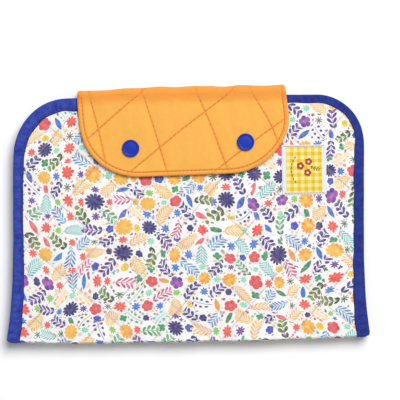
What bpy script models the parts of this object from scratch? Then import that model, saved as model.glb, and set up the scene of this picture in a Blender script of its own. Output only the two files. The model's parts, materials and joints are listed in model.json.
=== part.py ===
"""Travel changing pad: one long quilted strip folded into four panels and closed by a snap flap.

Metres. X runs across the pad, Y from the bottom fold towards the bound top edge, Z is up.
The origin is under the middle of the folded pad, on the surface that it lies on.
Every sewn layer and every half of the two snaps is an object of its own.
"""
import math

import bmesh
import bpy
from mathutils import Matrix, Vector

MM = 0.001

# Driving dimensions: panels
PANEL_WIDTH = 250 * MM
PANEL_THICKNESS = 3.2 * MM
STACK_GAP = 0.3 * MM
FOLD_Y = -88.0 * MM          # the bottom fold line
FRONT_TOP_Y = 85.4 * MM      # bound top edge of the front panel
BACK_TOP_Y = 87.0 * MM       # bound top edge of the back panel, which carries the flap
INNER_FOLD_Y = 38.0 * MM     # the inner fold, low enough to hide behind the rounded corners
CORNER_X = 40 * MM           # the rounded corners are slightly elliptical
CORNER_Y = 46 * MM
FLARE = 3.5 * MM             # how far each side spreads where the strip is folded
FLARE_LENGTH = 42 * MM
FOLD_CLEARANCE = 0.3 * MM    # from a fold line to the end of the layers
CORNER_STEPS = 6

# Cross-section of a quilted panel, as heights from its middle: bound rim and raised quilting
CLOTH = 0.3 * MM
PUFF = 0.45 * MM
WADDING_RIM = 0.75 * MM
CLOTH_RIM = 0.85 * MM
LAYER_INSET = 1.2 * MM       # from the binding's outer edge to the layers inside it
PUFF_INSET = 7.8 * MM        # from the binding's outer edge to where the quilting rises
PUFF_SLOPE = 1.5 * MM
BINDING_WIDTH = 7.3 * MM
BINDING_CLOTH = 0.35 * MM

# Flap
FLAP_X = -4.4 * MM
FLAP_WIDTH = 147 * MM
FLAP_TIP_Y = 29.2 * MM
FLAP_CORNER_X = 40 * MM
FLAP_CORNER_Y = 36 * MM
FLAP_HEM = 3.0 * MM

# Snaps, size 20 (12.4 mm caps), and the sewn label
SNAP_SPACING = 81.7 * MM
SNAP_CENTRE = (0.5 * MM, 50.5 * MM)   # midway between the two snaps
SNAP_RISE = 3.2 * MM                  # how much higher up the pad the right snap sits
CAP_RADIUS = 6.2 * MM
SNAP_CLEARANCE = 0.5 * MM
LABEL_SIZE = (31.5 * MM, 35.4 * MM, 0.15 * MM)
LABEL_CENTRE = (82.8 * MM, 32.0 * MM)

# Heights that follow
PITCH = PANEL_THICKNESS + STACK_GAP
PANELS = 4
MIDDLE = [PITCH * k + PANEL_THICKNESS / 2 for k in range(PANELS)]
FOLD_Z = [PITCH * (k + 1) - STACK_GAP / 2 for k in range(PANELS)]
FRONT_Z = PITCH * (PANELS - 1) + PANEL_THICKNESS
FLAP_BOTTOM = FRONT_Z + STACK_GAP
FLAP_MIDDLE = FLAP_BOTTOM + PANEL_THICKNESS / 2
FLAP_HINGE_Y = BACK_TOP_Y + STACK_GAP / 2
CLOTH_TOP = CLOTH_RIM + CLOTH + PUFF

# Colours, roughness
ORANGE = (0.91, 0.44, 0.10)
BLUE = (0.035, 0.060, 0.40)
SNAP_BLUE = (0.025, 0.060, 0.46)
PRINT = (0.85, 0.78, 0.80)
WADDING_WHITE = (0.86, 0.86, 0.84)
LABEL_YELLOW = (0.86, 0.68, 0.24)


def clear_scene():
    for obj in list(bpy.data.objects):
        bpy.data.objects.remove(obj, do_unlink=True)


def new_collection(name):
    collection = bpy.data.collections.new(name)
    bpy.context.scene.collection.children.link(collection)
    return collection


def new_material(name, colour, roughness):
    material = bpy.data.materials.new(name)
    material.use_nodes = True
    shader = material.node_tree.nodes["Principled BSDF"]
    shader.inputs["Base Color"].default_value = (*colour, 1)
    shader.inputs["Roughness"].default_value = roughness
    shader.inputs["Metallic"].default_value = 0
    return material


clear_scene()
PAD = new_collection("changing_pad")
CUTTERS = new_collection("cutters")
MATERIALS = {
    "print": new_material("printed_cotton", PRINT, 0.85),
    "orange": new_material("orange_cotton", ORANGE, 0.85),
    "binding": new_material("blue_binding", BLUE, 0.75),
    "wadding": new_material("wadding", WADDING_WHITE, 0.95),
    "snap": new_material("blue_snap", SNAP_BLUE, 0.2),
    "label": new_material("label", LABEL_YELLOW, 0.8),
}


def new_object(name, mesh, material, collection=PAD):
    obj = bpy.data.objects.new(name, mesh)
    collection.objects.link(obj)
    if material:
        mesh.materials.append(MATERIALS[material])
    return obj


def half_width(y, inset=0.0):
    """Half the strip's width at y: straight, spreading a little towards the bottom fold."""
    nearness = max(0.0, 1 - abs(y - FOLD_Y) / FLARE_LENGTH)
    return PANEL_WIDTH / 2 + FLARE * nearness**2 - inset


def strip_side(tip, inset):
    """Right side of a panel from below the bottom fold up to `tip`, as (x, y) points."""
    marks = [-0.5, 0, 0.25, 0.5, 0.75, 1]
    heights = [FOLD_Y + mark * FLARE_LENGTH for mark in marks] + [tip]
    return [(half_width(y, inset), y) for y in heights]


def rounded_side(tip, inset):
    """Right side of a panel whose top edge `tip` has a rounded corner, ending at the corner."""
    radius_x, radius_y = CORNER_X - inset, CORNER_Y - inset
    centre = (half_width(tip, inset) - radius_x, tip - inset - radius_y)
    return strip_side(centre[1], inset) + arc(centre, radius_x, radius_y)


def arc(centre, radius_x, radius_y):
    """Quarter ellipse from pointing along +X to pointing along `radius_y`'s sign."""
    turns = [math.pi / 2 * k / CORNER_STEPS for k in range(1, CORNER_STEPS + 1)]
    return [
        (centre[0] + radius_x * math.cos(t), centre[1] + radius_y * math.sin(t)) for t in turns
    ]


def both_sides(side, middle_x=0.0):
    """A full outline from its right side, given from one end to the other."""
    left = [(-x, y) for x, y in reversed(side)]
    return [(x + middle_x, y) for x, y in side + left]


def flat_curve(name, points, cyclic):
    curve = bpy.data.curves.new(name, "CURVE")
    curve.dimensions = "2D"
    spline = curve.splines.new("POLY")
    spline.points.add(len(points) - 1)
    for point, (x, y) in zip(spline.points, points):
        point.co = (x, y, 0, 1)
    spline.use_cyclic_u = cyclic
    return curve


def curve_mesh(curve, height):
    """The curve as a welded mesh, raised to `height`; the curve itself is removed."""
    holder = bpy.data.objects.new(curve.name, curve)
    CUTTERS.objects.link(holder)
    bpy.context.view_layer.update()
    shown = holder.evaluated_get(bpy.context.evaluated_depsgraph_get())
    mesh = bpy.data.meshes.new_from_object(shown)
    bpy.data.objects.remove(holder)
    mesh.transform(Matrix.Translation((0, 0, height)))
    edit = bmesh.new()
    edit.from_mesh(mesh)
    bmesh.ops.remove_doubles(edit, verts=edit.verts, dist=0.01 * MM)
    edit.to_mesh(mesh)
    edit.free()
    return mesh


def cut_off(edit, y, beyond):
    """Drop what lies on the `beyond` side of y; gives the edges of the cut."""
    cut = bmesh.ops.bisect_plane(
        edit,
        geom=edit.verts[:] + edit.edges[:] + edit.faces[:],
        plane_co=(0, y, 0),
        plane_no=(0, beyond, 0),
        clear_outer=True,
    )
    return [item for item in cut["geom_cut"] if isinstance(item, bmesh.types.BMEdge)]


def raise_middle(edit, up, rim, rise):
    """Push the middle of one face of a plate outwards by `rise`, leaving a flat rim."""
    side = [face for face in edit.faces if face.normal.z * up > 0.9]
    settings = {"use_even_offset": True, "use_boundary": True}
    bmesh.ops.inset_region(edit, faces=side, thickness=rim, **settings)
    bmesh.ops.inset_region(edit, faces=side, thickness=PUFF_SLOPE, depth=rise, **settings)


def sewn_layer(name, material, outline, middle, lower, upper, rim, cuts):
    """A layer between heights `lower` and `upper` at its rim, both from `middle`.

    Its middle is quilted: each face moves away from the panel's middle plane by PUFF.
    """
    curve = flat_curve(name, outline, True)
    curve.fill_mode = "BOTH"
    curve.extrude = (upper - lower) / 2
    mesh = curve_mesh(curve, middle + (lower + upper) / 2)
    edit = bmesh.new()
    edit.from_mesh(mesh)
    bmesh.ops.recalc_face_normals(edit, faces=edit.faces)
    edit.normal_update()
    raise_middle(edit, +1, rim, PUFF if upper > 0 else -PUFF)
    raise_middle(edit, -1, rim, PUFF if lower < 0 else -PUFF)
    for y, beyond in cuts:
        bmesh.ops.edgeloop_fill(edit, edges=cut_off(edit, y, beyond))
    bmesh.ops.recalc_face_normals(edit, faces=edit.faces)
    edit.to_mesh(mesh)
    edit.free()
    return new_object(name, mesh, material)


def quilted(prefix, outline, middle, floral_up, rim, cuts, cloth="print"):
    """The three layers of a quilted piece: its outer cloth, its wadding and its lining."""
    floral = 1 if floral_up else -1
    pieces = [
        sewn_layer(
            f"{prefix}_wadding", "wadding", outline, middle, -WADDING_RIM, WADDING_RIM, rim, cuts
        )
    ]
    for layer, material, side in (("outer", cloth, floral), ("lining", "orange", -floral)):
        near, far = sorted((side * CLOTH_RIM, side * (CLOTH_RIM + CLOTH)))
        pieces.append(
            sewn_layer(f"{prefix}_{layer}", material, outline, middle, near, far, rim, cuts)
        )
    return pieces


def binding_profile():
    """The folded tape's cross-section: two lips joined round the edge, open inwards."""
    lip = PANEL_THICKNESS / 2 - BINDING_CLOTH / 2
    nose = 1.2 * MM
    turns = [math.radians(angle) for angle in (90, 55, 25, 0, -25, -55, -90)]
    reach = nose - BINDING_CLOTH / 2
    bend = [(-nose + reach * math.cos(t), lip * math.sin(t)) for t in turns]
    return [(-BINDING_WIDTH, lip)] + bend + [(-BINDING_WIDTH, -lip)]


def binding(name, path, middle, cuts):
    """Tape folded round a panel's edge, swept along `path` with the panel on its left."""
    section = bpy.data.objects.new(name + "_section", flat_curve(name, binding_profile(), False))
    CUTTERS.objects.link(section)
    curve = flat_curve(name, path, False)
    curve.fill_mode = "NONE"
    curve.bevel_mode = "OBJECT"
    curve.bevel_object = section
    mesh = curve_mesh(curve, middle)
    bpy.data.objects.remove(section)
    edit = bmesh.new()
    edit.from_mesh(mesh)
    for y, beyond in cuts:
        cut_off(edit, y, beyond)
    edit.to_mesh(mesh)
    edit.free()
    obj = new_object(name, mesh, "binding")
    cloth = obj.modifiers.new("cloth", "SOLIDIFY")
    cloth.thickness = BINDING_CLOTH
    cloth.offset = 0
    cloth.use_even_offset = True
    return obj


def turned(name, material, profile, centre, steps=28, closed=False):
    """A turned piece: `profile` is (radius, height) from its top, down its outer side."""
    mesh = bpy.data.meshes.new(name)
    edit = bmesh.new()
    points = [edit.verts.new((radius, 0, height)) for radius, height in profile]
    pairs = list(zip(points, points[1:]))
    if closed:
        pairs.append((points[-1], points[0]))
    for pair in pairs:
        edit.edges.new(pair)
    edit.to_mesh(mesh)
    edit.free()
    obj = new_object(name, mesh, material)
    obj.location = centre
    screw = obj.modifiers.new("turn", "SCREW")
    screw.steps = steps
    screw.render_steps = steps
    screw.use_merge_vertices = True
    screw.merge_threshold = 0.005 * MM
    return obj


def box(name, material, low, high):
    bpy.ops.mesh.primitive_cube_add(size=1)
    obj = bpy.context.object
    obj.name = name
    for collection in list(obj.users_collection):
        collection.objects.unlink(obj)
    PAD.objects.link(obj)
    size = Vector(high) - Vector(low)
    obj.data.transform(Matrix.Diagonal((*size, 1)))
    obj.location = (Vector(high) + Vector(low)) / 2
    obj.data.materials.append(MATERIALS[material])
    return obj


def drill(obj, centre, radius, low, high, sides=24):
    """Cut a round pocket or hole, from height `low` to `high`."""
    bpy.ops.mesh.primitive_cylinder_add(
        vertices=sides, radius=radius, depth=high - low, location=(*centre, (low + high) / 2)
    )
    cutter = bpy.context.object
    cutter.name = f"{obj.name}_cutter_{len(obj.modifiers)}"
    for collection in list(cutter.users_collection):
        collection.objects.unlink(cutter)
    CUTTERS.objects.link(cutter)
    cutter.hide_render = True
    cutter.display_type = "WIRE"
    cut = obj.modifiers.new("pocket", "BOOLEAN")
    cut.operation = "DIFFERENCE"
    cut.object = cutter


def axis_empty(name, y, z, parent=None):
    empty = bpy.data.objects.new(name, None)
    PAD.objects.link(empty)
    empty.location = (0, y, z)
    put_under(empty, parent)
    return empty


def put_under(obj, parent):
    """Parent without moving: the parents are unturned, so locations just subtract."""
    if parent is None:
        return
    obj.parent = parent
    bpy.context.view_layer.update()
    obj.matrix_parent_inverse = parent.matrix_world.inverted()


def build_panels():
    """The four panels in their folded stack, the back one lowest."""
    low_cut = (FOLD_Y + FOLD_CLEARANCE, -1)
    high_cut = (INNER_FOLD_Y - FOLD_CLEARANCE, 1)
    rim = PUFF_INSET - LAYER_INSET
    beyond_fold = INNER_FOLD_Y + PUFF_INSET + PUFF_SLOPE
    panels = []
    for k, middle in enumerate(MIDDLE):
        name = f"panel_{k + 1}"
        floral_up = k % 2 == 1
        if k in (0, PANELS - 1):
            top = BACK_TOP_Y if k == 0 else FRONT_TOP_Y
            outline = both_sides(rounded_side(top, LAYER_INSET))
            pieces = quilted(name, outline, middle, floral_up, rim, [low_cut])
            edge = both_sides(rounded_side(top, 0))
            pieces.append(binding(f"{name}_binding", edge, middle, [low_cut]))
        else:
            outline = both_sides(strip_side(beyond_fold, LAYER_INSET))
            pieces = quilted(name, outline, middle, floral_up, rim, [low_cut, high_cut])
            right = strip_side(beyond_fold, 0)
            left = [(-x, y) for x, y in reversed(right)]
            for side, edge in (("right", right), ("left", left)):
                name_here = f"{name}_binding_{side}"
                pieces.append(binding(name_here, edge, middle, [low_cut, high_cut]))
        panels.append({piece.name: piece for piece in pieces})
    return panels


def build_flap():
    """The flap's front, its narrow bridge up the pad's top edge, and their cloth layers."""
    root_y = FLAP_HINGE_Y - FOLD_CLEARANCE
    overrun = root_y + FLAP_HEM + PUFF_SLOPE
    corner = (FLAP_WIDTH / 2 - FLAP_CORNER_X, FLAP_TIP_Y + FLAP_CORNER_Y)
    side = [(FLAP_WIDTH / 2, overrun), (FLAP_WIDTH / 2, corner[1])]
    side += arc(corner, FLAP_CORNER_X, -FLAP_CORNER_Y)
    outline = both_sides(side, FLAP_X)
    pieces = quilted(
        "flap", outline, FLAP_MIDDLE, True, FLAP_HEM, [(root_y, 1)], cloth="orange"
    )
    low_x, high_x = FLAP_X - FLAP_WIDTH / 2, FLAP_X + FLAP_WIDTH / 2
    bottom = FOLD_Z[0] + STACK_GAP / 2
    top = FLAP_BOTTOM - STACK_GAP
    inner = FLAP_HINGE_Y + STACK_GAP / 2
    outer = inner + PANEL_THICKNESS
    gap = 0.1 * MM
    layers = {
        "lining": (inner, inner + CLOTH, "orange"),
        "wadding": (inner + CLOTH + gap, outer - CLOTH - gap, "wadding"),
        "outer": (outer - CLOTH, outer, "orange"),
    }
    bridge = [
        box(f"flap_bridge_{layer}", material, (low_x, near, bottom), (high_x, far, top))
        for layer, (near, far, material) in layers.items()
    ]
    return {piece.name: piece for piece in pieces}, bridge


def cap_profile(radius, rise, prong_radius, prong_length):
    """A domed cap with a raised rolled rim, a flat underside and a prong below it."""
    rim_radius = 0.75 * MM
    rim_middle = radius - rim_radius
    rolled = [math.radians(angle) for angle in (150, 115, 80, 45, 10)]
    rim = [
        (rim_middle + rim_radius * math.cos(t), rise - rim_radius + rim_radius * math.sin(t))
        for t in rolled
    ]
    dome = [(0, rise + 0.15 * MM), (radius * 0.4, rise), (radius * 0.68, rise - 0.45 * MM)]
    under = [(radius, 0.25 * MM), (radius - 0.25 * MM, 0), (prong_radius, 0)]
    tip = 0.5 * MM
    prong = [(prong_radius, tip - prong_length), (prong_radius * 0.4, -prong_length)]
    return dome + rim + under + prong + [(0, -prong_length)]


def build_snap(side, centre, flap, front):
    """One snap: cap and socket on the flap, stud and back cap on the front panel."""
    slack = SNAP_CLEARANCE
    cloth_top = FLAP_BOTTOM + PANEL_THICKNESS
    cap_base = cloth_top + 0.1 * MM
    prong_radius = 1.0 * MM
    prong_hole = 1.3 * MM
    cap = turned(
        f"snap_cap_{side}",
        "snap",
        cap_profile(CAP_RADIUS, 1.6 * MM, prong_radius, 1.5 * MM),
        (*centre, cap_base),
        steps=36,
    )

    # Socket: a ring in the flap's lining, open below for the stud's knob
    socket_radius = 5.3 * MM
    socket_low = FLAP_BOTTOM + 0.1 * MM
    socket_top = 2.2 * MM
    cavity = 2.6 * MM
    cavity_top = 1.5 * MM
    bevel = 0.3 * MM
    socket = turned(
        f"snap_socket_{side}",
        "snap",
        [
            (prong_hole, socket_top),
            (socket_radius - bevel, socket_top),
            (socket_radius, socket_top - bevel),
            (socket_radius, bevel),
            (socket_radius - bevel, 0),
            (cavity, 0),
            (cavity, cavity_top),
            (prong_hole, cavity_top),
        ],
        (*centre, socket_low),
        closed=True,
    )
    socket_pocket = socket_low + socket_top + 0.1 * MM
    drill(flap["flap_lining"], centre, socket_radius + slack, FLAP_BOTTOM - MM, FLAP_BOTTOM + MM)
    drill(flap["flap_wadding"], centre, socket_radius + slack, FLAP_BOTTOM, socket_pocket)
    drill(flap["flap_wadding"], centre, prong_hole, FLAP_BOTTOM, cloth_top, sides=12)
    drill(flap["flap_outer"], centre, prong_hole, FLAP_BOTTOM, cloth_top + MM, sides=12)

    # Stud: a base sunk in the front panel's cloth and a knob that enters the socket
    stud_radius = 5.3 * MM
    stud_low = FRONT_Z - 1.4 * MM
    base_top = 1.3 * MM
    neck = 1.8 * MM
    knob = 2.1 * MM
    knob_top = 3.0 * MM
    stud = turned(
        f"snap_stud_{side}",
        "snap",
        [
            (0, knob_top),
            (knob - bevel, knob_top),
            (knob, knob_top - bevel),
            (knob, knob_top - 3 * bevel),
            (neck, base_top + bevel),
            (neck, base_top),
            (stud_radius - bevel, base_top),
            (stud_radius, base_top - bevel),
            (stud_radius, 0),
            (prong_hole, 0),
            (prong_hole, base_top),
            (0, base_top + bevel),
        ],
        (*centre, stud_low),
    )
    cloth_low = MIDDLE[-1] - CLOTH_TOP
    back_top = cloth_low + 1.4 * MM
    back = turned(
        f"snap_back_cap_{side}",
        "snap",
        [
            (0, 2.6 * MM),
            (prong_radius, 2.6 * MM),
            (prong_radius, 1.35 * MM),
            (CAP_RADIUS - bevel, 1.35 * MM),
            (CAP_RADIUS, 1.0 * MM),
            (CAP_RADIUS, bevel),
            (CAP_RADIUS - bevel, 0),
            (0, 0),
        ],
        (*centre, cloth_low + 0.05 * MM),
    )
    stud_pocket = stud_low - 0.1 * MM
    drill(front["panel_4_outer"], centre, stud_radius + slack, FRONT_Z - MM, FRONT_Z + MM)
    drill(front["panel_4_wadding"], centre, stud_radius + slack, stud_pocket, FRONT_Z + MM)
    drill(front["panel_4_wadding"], centre, prong_hole, cloth_low, FRONT_Z, sides=12)
    drill(front["panel_4_wadding"], centre, CAP_RADIUS + slack, cloth_low - MM, back_top + 0.1 * MM)
    drill(front["panel_4_lining"], centre, CAP_RADIUS + slack, cloth_low - MM, cloth_low + MM)
    return [cap, socket], [stud, back]


def build_label():
    width, height, thickness = LABEL_SIZE
    x, y = LABEL_CENTRE
    z = FRONT_Z + 0.05 * MM
    low = (x - width / 2, y - height / 2, z)
    return box("label", "label", low, (x + width / 2, y + height / 2, z + thickness))


def smooth_round_pieces():
    for obj in PAD.objects:
        if obj.name.startswith("snap_"):
            obj.data.shade_smooth()
            obj.data.set_sharp_from_angle(angle=math.radians(35))


def main():
    panels = build_panels()
    flap, bridge = build_flap()
    flap_pieces = list(flap.values())
    front_pieces = list(panels[-1].values()) + [build_label()]
    for side, way in (("left", -0.5), ("right", 0.5)):
        centre = (SNAP_CENTRE[0] + way * SNAP_SPACING, SNAP_CENTRE[1] + way * SNAP_RISE)
        on_flap, on_front = build_snap(side, centre, flap, panels[-1])
        flap_pieces += on_flap
        front_pieces += on_front
    fold_1 = axis_empty("fold_1_axis", FOLD_Y, FOLD_Z[0])
    fold_2 = axis_empty("fold_2_axis", INNER_FOLD_Y, FOLD_Z[1], fold_1)
    fold_3 = axis_empty("fold_3_axis", FOLD_Y, FOLD_Z[2], fold_2)
    lift = axis_empty("flap_lift_axis", FLAP_HINGE_Y, FOLD_Z[0])
    turn = axis_empty("flap_turn_axis", FLAP_HINGE_Y, FLAP_BOTTOM - STACK_GAP / 2, lift)
    groups = [
        (fold_1, panels[1].values()),
        (fold_2, panels[2].values()),
        (fold_3, front_pieces),
        (lift, bridge),
        (turn, flap_pieces),
    ]
    for axis, pieces in groups:
        for piece in pieces:
            put_under(piece, axis)
    smooth_round_pieces()


main()
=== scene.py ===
"""Looks of the folded, quilted travel changing pad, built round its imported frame.

Metres, in the frame's own axes: X across the pad, Y from the bottom fold to the bound top edge,
Z up. The pad is one quilted strip in four panels. Each visible layer is a mesh of its own that
rides on its panel. Where the strip turns over at a fold, a short nose of cloth bends between the
two panels.
"""
import json
import math

import bpy
import numpy as np
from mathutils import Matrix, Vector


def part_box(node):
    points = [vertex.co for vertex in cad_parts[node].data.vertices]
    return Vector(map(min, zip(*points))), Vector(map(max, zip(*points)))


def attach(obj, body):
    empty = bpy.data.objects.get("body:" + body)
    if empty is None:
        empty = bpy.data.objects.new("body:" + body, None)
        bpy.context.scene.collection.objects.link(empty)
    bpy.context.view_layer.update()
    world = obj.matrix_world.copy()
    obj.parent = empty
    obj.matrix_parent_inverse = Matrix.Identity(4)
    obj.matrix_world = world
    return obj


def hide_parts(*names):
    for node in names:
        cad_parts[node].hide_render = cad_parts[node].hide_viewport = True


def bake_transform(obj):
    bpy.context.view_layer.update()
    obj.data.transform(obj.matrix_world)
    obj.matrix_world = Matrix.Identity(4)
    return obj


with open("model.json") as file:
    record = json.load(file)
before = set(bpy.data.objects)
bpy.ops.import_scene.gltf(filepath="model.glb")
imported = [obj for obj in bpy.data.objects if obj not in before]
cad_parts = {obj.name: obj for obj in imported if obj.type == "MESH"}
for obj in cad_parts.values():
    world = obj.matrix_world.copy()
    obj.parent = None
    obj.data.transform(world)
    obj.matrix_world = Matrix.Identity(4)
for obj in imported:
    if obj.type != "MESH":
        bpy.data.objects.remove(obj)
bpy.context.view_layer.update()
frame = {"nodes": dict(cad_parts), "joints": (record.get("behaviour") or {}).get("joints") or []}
MM = 0.001

# Places read from the frame
JOINTS = {joint["name"]: joint["pos_m"] for joint in frame["joints"]}
FOLD_Y = JOINTS["fold_1"][1]
INNER_Y = JOINTS["fold_2"][1]
FOLD_Z = [JOINTS[name][2] for name in ("fold_1", "fold_2", "fold_3")]
PANEL_LOW, PANEL_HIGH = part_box("panel_1_binding")
HALF = (PANEL_HIGH[2] - PANEL_LOW[2]) / 2
MIDDLE = [sum(corner[2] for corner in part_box(f"panel_{k}_wadding")) / 2 for k in (1, 2, 3, 4)]
FRONT_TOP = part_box("panel_4_binding")[1][1]
FLAP_LOW, FLAP_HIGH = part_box("flap_outer")
FLAP_MIDDLE = sum(corner[2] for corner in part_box("flap_wadding")) / 2
FLAP_X = (FLAP_LOW[0] + FLAP_HIGH[0]) / 2
HINGE_Y, LIFT_Z = JOINTS["flap_lift"][1:]
TURN_Z = JOINTS["flap_turn"][2]
SNAPS = [
    [(low + high) / 2 for low, high in zip(*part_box(f"snap_cap_{side}"))]
    for side in ("left", "right")
]
LABEL_LOW, LABEL_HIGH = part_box("label")

# The strip's outline: its sides lean a little, flare at the bottom fold and turn round corners
HALF_WIDTH = 125 * MM
LEAN = math.tan(math.radians(0.9))
FLARE = {+1: (4.6 * MM, 63.2 * MM), -1: (4.6 * MM, 67.2 * MM)}
CORNERS = {+1: (34 * MM, 36 * MM), -1: (38 * MM, 42 * MM)}
FOLD_CORNER = {+1: 4.2 * MM, -1: 2.6 * MM}
FOLD_RISE = {+1: 1.6 * MM, -1: 1.2 * MM}
NOSE_RADIUS = FOLD_Z[0] - PANEL_LOW[2]
NOSE_DEPTH = 1.8 * MM
NOSE_LENGTH = math.pi * math.sqrt((NOSE_RADIUS**2 + NOSE_DEPTH**2) / 2)

# The tape's usual width, and how far in from the pad's edge the cloth ends under it
BINDING = 7.3 * MM
UNDER_TAPE = 1.3 * MM

# Quilting: (angle of the line, spacing, offset from the origin, fan) of its two families.
# Lines with a fan, in 1/m, spread as they run down from the flap's bend, about the fan's lean.
PAD_QUILTING = ((-42.5, 36.4 * MM, 18.2 * MM, 0), (49.0, 37 * MM, 36.4 * MM, 0))
FLAP_QUILTING = ((-70.25, 35.95 * MM, 0.45 * MM, 2.34), (-142.8, 38.2 * MM, 24.7 * MM, 0))
FAN_LEAN = 0.359

# The flap's hem is sewn this far in from its edge
HEM = 3.1 * MM

# Stitches: (pitch, length)
QUILT_STITCH = (3.6 * MM, 2.9 * MM)
TOP_STITCH = (2.85 * MM, 2.2 * MM)
LABEL_STITCH = (2.2 * MM, 2.0 * MM)
RUNNING_STITCH = (2.6 * MM, 1.8 * MM)

# The label's print, in mm from its middle
LABEL_CHECK = 5.0
LABEL_PRINT = (12.8, 16.2)
LABEL_FLOWERS = (((-2.6, 2.6), 2.8), ((3.2, 5.6), 2.6), ((2.4, -2.2), 2.7))
LABEL_LEAF = (7.4, 0.8)

# Points across and along the label's mesh
LABEL_GRID = (66, 72)

# The label's running stitches follow an arc: how far right of the label's middle its own lies,
# its radius, and where it starts and ends in degrees
ARC_MIDDLE = 5.2 * MM
ARC_RADIUS = 14.5 * MM
ARC_ENDS = (138, 222)

# Grids crowd their points toward an edge by this power
CROWDING = 1.35

# The camera looks straight down, a little turned; the field is how much of the pad it sees
CAMERA_DISTANCE = 1.4
CAMERA_FIELD = 0.2851
CAMERA_AIM = (8.3 * MM, 11.5 * MM)
CAMERA_TURN = math.radians(-0.9)
SENSOR_WIDTH = 36

# One large soft light from the upper right, and an even white surround
KEY_PLACE = (0.74, 1.25, 2.4)
KEY_SIZE = 1.6
KEY_POWER = 77
SURROUND = 0.34
FLOOR_DROP = 0.1 * MM

# How much brighter than its own colour a white surface looks under the lights
STUDIO_LIGHT = 1.1


def srgb(red, green, blue):
    """The surface colour, as linear RGBA, that looks like these 0 to 255 screen values when lit."""
    values = [channel / 255 for channel in (red, green, blue)]
    linear = [v / 12.92 if v <= 0.04045 else ((v + 0.055) / 1.055) ** 2.4 for v in values]
    return (*(v / STUDIO_LIGHT for v in linear), 1)


# ---------------------------------------------------------------- shapes


def waves(x, y, size, seed, count=6):
    """Smooth irregular ripple from about -1 to 1 whose bumps are about `size` across."""
    rng = np.random.RandomState(seed)
    total = np.zeros(np.broadcast(x, y).shape)
    for _ in range(count):
        angle, phase = rng.uniform(0, 2 * math.pi, 2)
        pitch = 2 * size * rng.uniform(0.7, 1.5)
        along = x * math.cos(angle) + y * math.sin(angle)
        total = total + np.sin(2 * math.pi * along / pitch + phase)
    return total / math.sqrt(count) / 1.2


def step(value, low, high):
    """0 below low, 1 above high, and smooth between them."""
    t = np.clip((value - low) / (high - low), 0, 1)
    return t * t * (3 - 2 * t)


def fold_corner(y, side):
    """How far the outline turns in at height y, round the small corner at the fold."""
    radius = np.where(side > 0, FOLD_CORNER[+1], FOLD_CORNER[-1])
    lift = np.clip((y - FOLD_Y + NOSE_DEPTH) / radius, 0, 1)
    return radius * (1 - np.sqrt(1 - (1 - lift) ** 2))


def side_at(y, top, side, inset=0.0, rounded=True):
    """x of the pad's edge at height y, on the +1 or -1 side, with a rounded corner below `top`."""
    flare, length = FLARE[side]
    nearness = np.clip(1 - np.abs(y - FOLD_Y) / length, 0, 1)
    edge = HALF_WIDTH + flare * nearness**2 - inset - fold_corner(y, side) * rounded
    if top is not None:
        radius_x, radius_y = CORNERS[side]
        rise = np.clip((y - (top - radius_y)) / (radius_y - inset), 0, 1)
        edge = edge - (radius_x - inset) * (1 - np.sqrt(1 - rise**2))
    return side * edge + LEAN * y


def outline(top, spacing=2 * MM, rounded=True):
    """Evenly spaced points on a panel's edge, up the right side, over the top, down the left."""
    bottom = FOLD_Y
    if top is None:
        heights = np.linspace(bottom, INNER_Y, 90)
        sides = [side_at(heights, None, side, rounded=rounded) for side in (1, -1)]
        return [np.stack([edge, heights], 1) for edge in sides]
    sides = []
    for side in (1, -1):
        start = top - CORNERS[side][1]
        turn = np.linspace(0, math.pi / 2, 60)
        heights = np.concatenate(
            [np.linspace(bottom, start, 60)[:-1], start + CORNERS[side][1] * np.sin(turn)]
        )
        edge = side_at(heights, top, side, rounded=rounded)
        sides.append(np.stack([edge, heights], 1))
    return [evenly(np.concatenate([sides[0], sides[1][::-1]]), spacing)]


def settled(points, lining=False):
    """The fold's edge is drawn in toward its two ends, and nothing sinks into the floor.

    The lining keeps to its hinge line, except under the tape, where its corners are cut back.
    """
    x, y, z = (points[..., k] for k in range(3))
    if lining:
        rise = 4 * MM * step(np.abs(x), 117 * MM, 125 * MM)
    else:
        rise = FOLD_RISE[+1] * step(x, 40 * MM, 124 * MM)
        rise = rise + FOLD_RISE[-1] * step(-x, 80 * MM, 124 * MM)
    rise = rise * (1 - step(y - FOLD_Y, 0, 22 * MM))
    return np.stack([x, y + rise, np.maximum(z, 0)], -1)


def bell(distance, width):
    """1 at no distance, fading to 0 past `width`."""
    return np.exp(-((distance / width) ** 2))


def crowded(count):
    """Numbers from -1 to 1 that stand closer together toward both ends."""
    even = np.linspace(-1, 1, count)
    return np.sign(even) * (1 - (1 - np.abs(even)) ** CROWDING)


def evenly(points, spacing):
    """The same line with its points at even steps of about `spacing`."""
    gaps = np.linalg.norm(np.diff(points, axis=0), axis=1)
    run = np.concatenate([[0], np.cumsum(gaps)])
    marks = np.linspace(0, run[-1], max(2, int(round(run[-1] / spacing)) + 1))
    return np.stack([np.interp(marks, run, points[:, k]) for k in range(points.shape[1])], 1)


def edge_distance(x, y, edges):
    """Distance in the plane from each (x, y) to the nearest of some edge points."""
    flat = np.stack([x.ravel(), y.ravel()], 1)
    nearest = np.full(len(flat), 1.0)
    for points in edges:
        for chunk in np.array_split(points, max(1, len(points) // 40)):
            gap = np.linalg.norm(flat[:, None, :] - chunk[None], axis=2).min(1)
            nearest = np.minimum(nearest, gap)
    return nearest.reshape(x.shape)


def line_distance(x, y, family):
    """Distance to the nearest quilting line of one family."""
    angle, spacing, offset, fan = family
    turn = math.radians(angle)
    lean = FAN_LEAN * (HINGE_Y - y)
    x = (x - lean) / (1 + fan * (HINGE_Y - y)) + lean
    across = -x * math.sin(turn) + y * math.cos(turn) - offset
    return np.abs((across / spacing + 0.5) % 1 - 0.5) * spacing


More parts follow.
